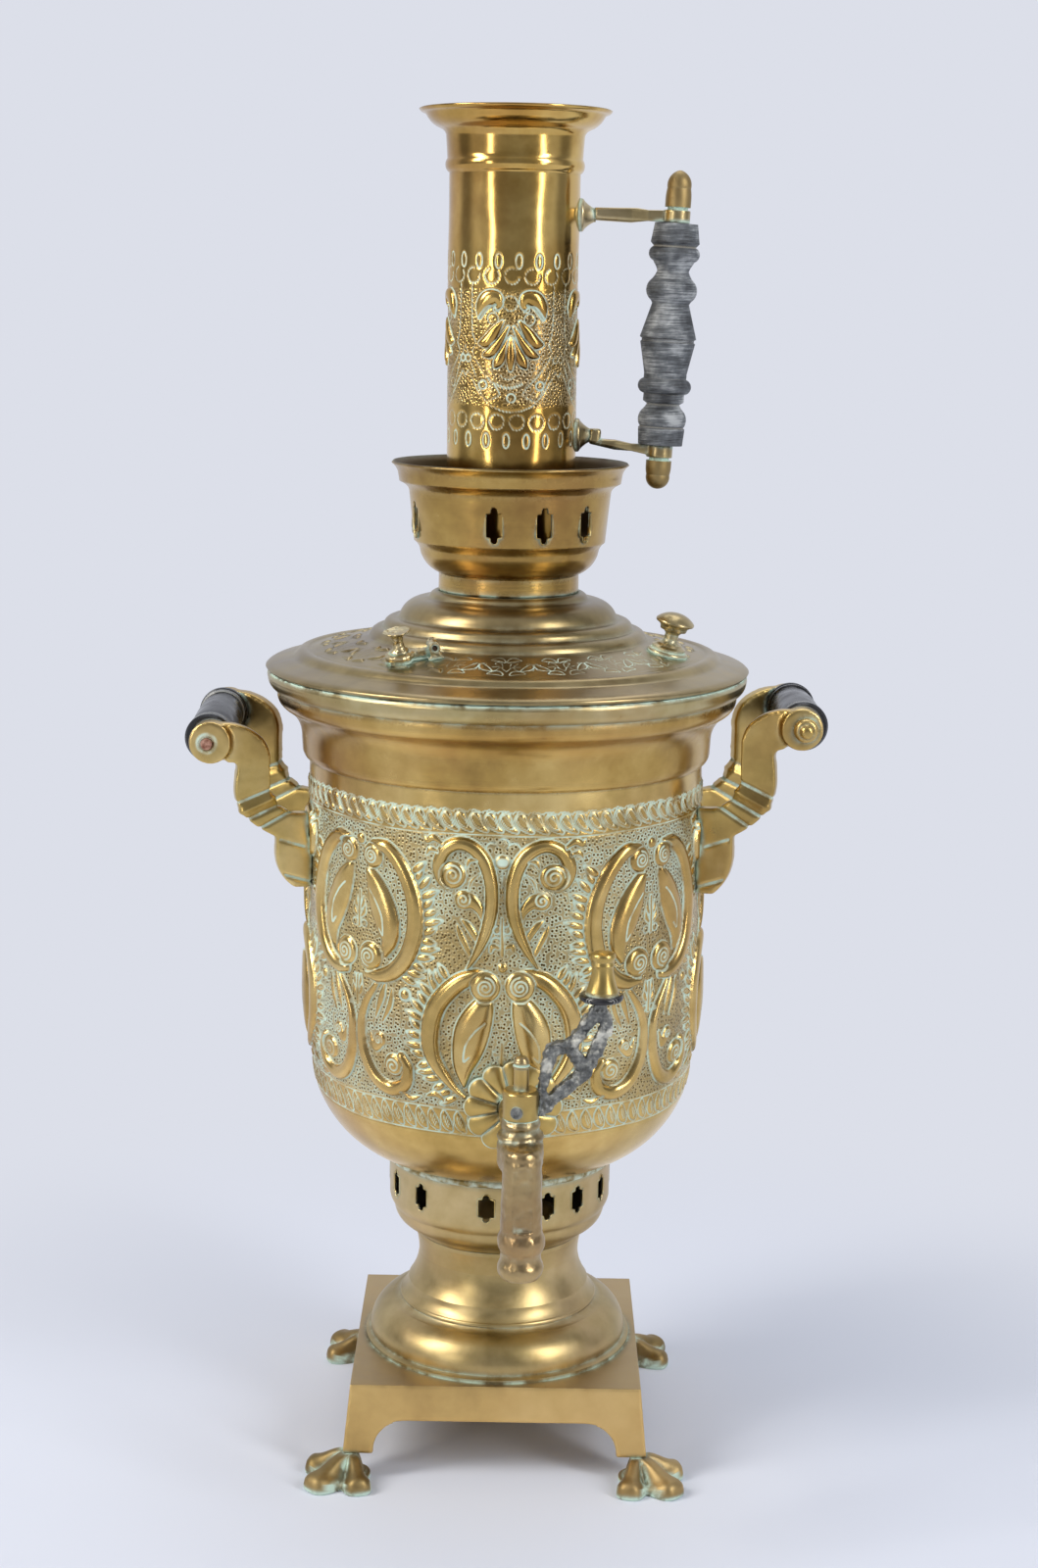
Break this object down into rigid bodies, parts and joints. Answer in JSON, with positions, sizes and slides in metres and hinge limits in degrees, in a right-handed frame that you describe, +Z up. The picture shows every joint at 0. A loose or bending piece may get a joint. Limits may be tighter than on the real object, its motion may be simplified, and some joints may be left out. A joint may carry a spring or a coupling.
{
  "type": "samovar",
  "caption": "Charcoal samovar: footed water urn with tap, side handles, steam vent, lift-off lid, crown and chimney.",
  "frame": {"origin": "on the floor, under the middle of the whole object's box", "axes": "+Z up, the tap points to -Y, the side handles to -X and +X"},
  "size_m": [0.3082, 0.2908, 0.6564],
  "materials": {
    "brass_sheet": "raised and chased sheet brass, aged golden brown",
    "brass_cast": "cast and filed brass, worn bright on edges",
    "iron": "dark forged iron",
    "wood_weathered": "turned wood, weathered grey",
    "wood_black": "turned wood, black lacquer",
    "white_metal": "cast grey white metal, dull",
    "solder": "grey tin solder with verdigris"
  },
  "bodies": {
    "samovar": {"plinth": "brass_sheet", "paw_front_left": "brass_cast", "paw_front_right": "brass_cast", "paw_rear_left": "brass_cast", "paw_rear_right": "brass_cast", "pedestal": "brass_sheet", "draught_ring": "brass_sheet", "base_solder_ring": "solder", "fire_grate": "iron", "tank_shell": "brass_sheet", "fire_tube": "brass_sheet", "neck_collar": "brass_sheet", "tank_rim_ring": "brass_sheet", "handle_bracket_left_front": "brass_cast", "handle_bracket_left_rear": "brass_cast", "handle_bracket_right_front": "brass_cast", "handle_bracket_right_rear": "brass_cast", "handle_rod_left": "iron", "handle_rod_right": "iron", "handle_nuts_right": "brass_cast", "tap_rosette": "brass_cast", "tap_body": "brass_cast", "tap_back_nut": "brass_cast"},
    "lid": {"lid": "brass_sheet", "lid_skirt": "brass_sheet", "lid_knob": "brass_cast", "lid_knob_nut": "iron", "vent_seat": "brass_cast", "vent_hinge_pin": "iron"},
    "vent_flap": {"vent_flap": "brass_cast", "vent_flap_knob": "brass_cast"},
    "crown": {"crown_bowl": "brass_sheet", "crown_seat_ring": "brass_sheet"},
    "chimney": {"chimney_pipe": "brass_sheet", "chimney_boss_upper": "brass_cast", "chimney_boss_lower": "brass_cast", "chimney_arm_upper": "brass_cast", "chimney_arm_lower": "brass_cast", "chimney_handle_rod": "iron", "chimney_acorn_upper": "brass_cast", "chimney_acorn_lower": "brass_cast"},
    "chimney_grip": {"chimney_grip": "wood_weathered"},
    "side_grip_left": {"handle_grip_left": "wood_black"},
    "side_grip_right": {"handle_grip_right": "wood_black"},
    "tap_key": {"tap_plug": "brass_cast", "tap_plug_rivet": "iron", "tap_plug_finial": "brass_cast", "tap_plug_nut": "brass_cast", "tap_key_branch": "white_metal", "tap_key_washer": "wood_black", "tap_key_knob": "brass_cast"}
  },
  "joints": [
    {"name": "lid_lift", "type": "slide", "parent": "samovar", "child": "lid", "axis": [0, 0, 1], "range_m": [0, 0.1]},
    {"name": "vent_flap_hinge", "type": "hinge", "parent": "lid", "child": "vent_flap", "pos_m": [-0.03396, -0.04013, 0.41197], "axis": [-0.1973, 0.9669, 0.1616], "range_deg": [0, 105]},
    {"name": "crown_lift", "type": "slide", "parent": "lid", "child": "crown", "axis": [0, 0, 1], "range_m": [0, 0.06]},
    {"name": "chimney_lift", "type": "slide", "parent": "crown", "child": "chimney", "axis": [0, 0, 1], "range_m": [0, 0.07]},
    {"name": "chimney_grip_spin", "type": "hinge", "parent": "chimney", "child": "chimney_grip", "pos_m": [0.07166, 0.02783, 0.50156], "axis": [0.0488, 0, 0.9988], "continuous": true},
    {"name": "side_grip_left_spin", "type": "hinge", "parent": "samovar", "child": "side_grip_left", "pos_m": [-0.1423, 0.02783, 0.36185], "axis": [0, 0.9982, 0.0607], "continuous": true},
    {"name": "side_grip_right_spin", "type": "hinge", "parent": "samovar", "child": "side_grip_right", "pos_m": [0.1423, 0.02783, 0.3706], "axis": [0, 1, 0], "continuous": true},
    {"name": "tap_key_turn", "type": "hinge", "parent": "samovar", "child": "tap_key", "pos_m": [0.00981, -0.11984, 0.1992], "axis": [0, 0, 1], "continuous": true}
  ]
}
